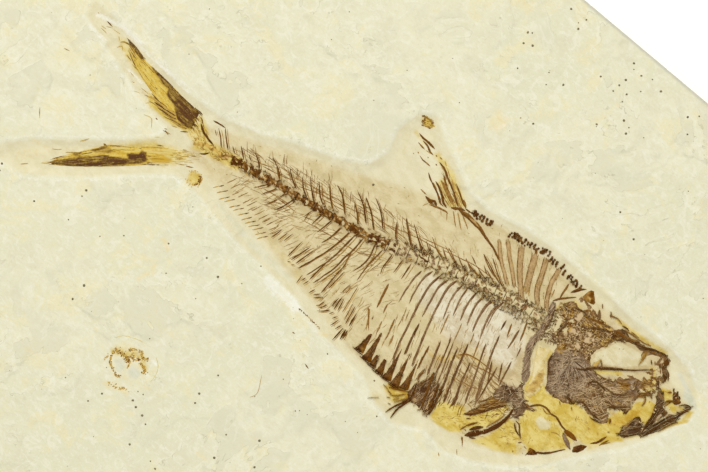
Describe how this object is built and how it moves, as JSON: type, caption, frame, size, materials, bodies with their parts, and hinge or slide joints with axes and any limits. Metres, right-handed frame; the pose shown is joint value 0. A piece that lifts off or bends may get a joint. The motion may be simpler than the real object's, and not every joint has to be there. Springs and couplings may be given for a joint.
{
  "type": "fossil fish slab",
  "caption": "Sawn plate of pale limestone carrying a small herring-like fossil fish in low relief in a shallow cleared bed.",
  "frame": {"origin": "on the flat back, under the middle of the plate's outline", "axes": "+Z out of the face that shows the fish, +X along the plate's long side towards the fish's head, +Y towards the straight sawn edge above the fish's back"},
  "size_m": [0.1524, 0.127, 0.012],
  "materials": {
    "limestone": "matt, fine-grained pale limestone with mottling, flake marks and dark specks",
    "brown_bone": "satin chocolate-brown mineralised bone",
    "skull_bone": "crazed purple-grey and brown crushed bone",
    "pale_bone": "thin cream and amber bone",
    "amber_film": "yellow and brown stained fin film"
  },
  "bodies": {
    "root": {"anal_fin": "brown_bone", "backbone": "brown_bone", "belly_scute_01": "brown_bone", "belly_scute_02": "brown_bone", "belly_scute_03": "brown_bone", "belly_scute_04": "brown_bone", "belly_scute_05": "brown_bone", "belly_scute_06": "brown_bone", "belly_scute_07": "brown_bone", "chin_splint": "brown_bone", "dorsal_fin": "brown_bone", "gill_cover": "pale_bone", "lower_jaw": "brown_bone", "lower_throat_bone": "brown_bone", "pectoral_fin": "brown_bone", "pectoral_spine": "brown_bone", "pelvic_fin": "brown_bone", "predorsal_bone_01": "brown_bone", "predorsal_bone_02": "brown_bone", "predorsal_bone_03": "brown_bone", "predorsal_bone_04": "brown_bone", "predorsal_bone_05": "brown_bone", "predorsal_bone_06": "brown_bone", "rib_01": "brown_bone", "rib_02": "brown_bone", "rib_03": "brown_bone", "rib_04": "brown_bone", "rib_05": "brown_bone", "rib_06": "brown_bone", "rib_07": "brown_bone", "rib_08": "brown_bone", "rib_09": "brown_bone", "rib_10": "brown_bone", "rib_11": "brown_bone", "rib_12": "brown_bone", "rib_13": "brown_bone", "rib_14": "brown_bone", "rib_15": "brown_bone", "shoulder_blade": "skull_bone", "shoulder_bone": "skull_bone", "skull": "skull_bone", "skull_crest": "brown_bone", "slab": "limestone", "snout_bone": "brown_bone", "tail_lower_lobe": "amber_film", "tail_upper_lobe": "amber_film", "throat_splint": "skull_bone", "throat_wedge": "brown_bone", "upper_jaw": "brown_bone", "upper_throat_bone": "brown_bone"}
  },
  "joints": []
}
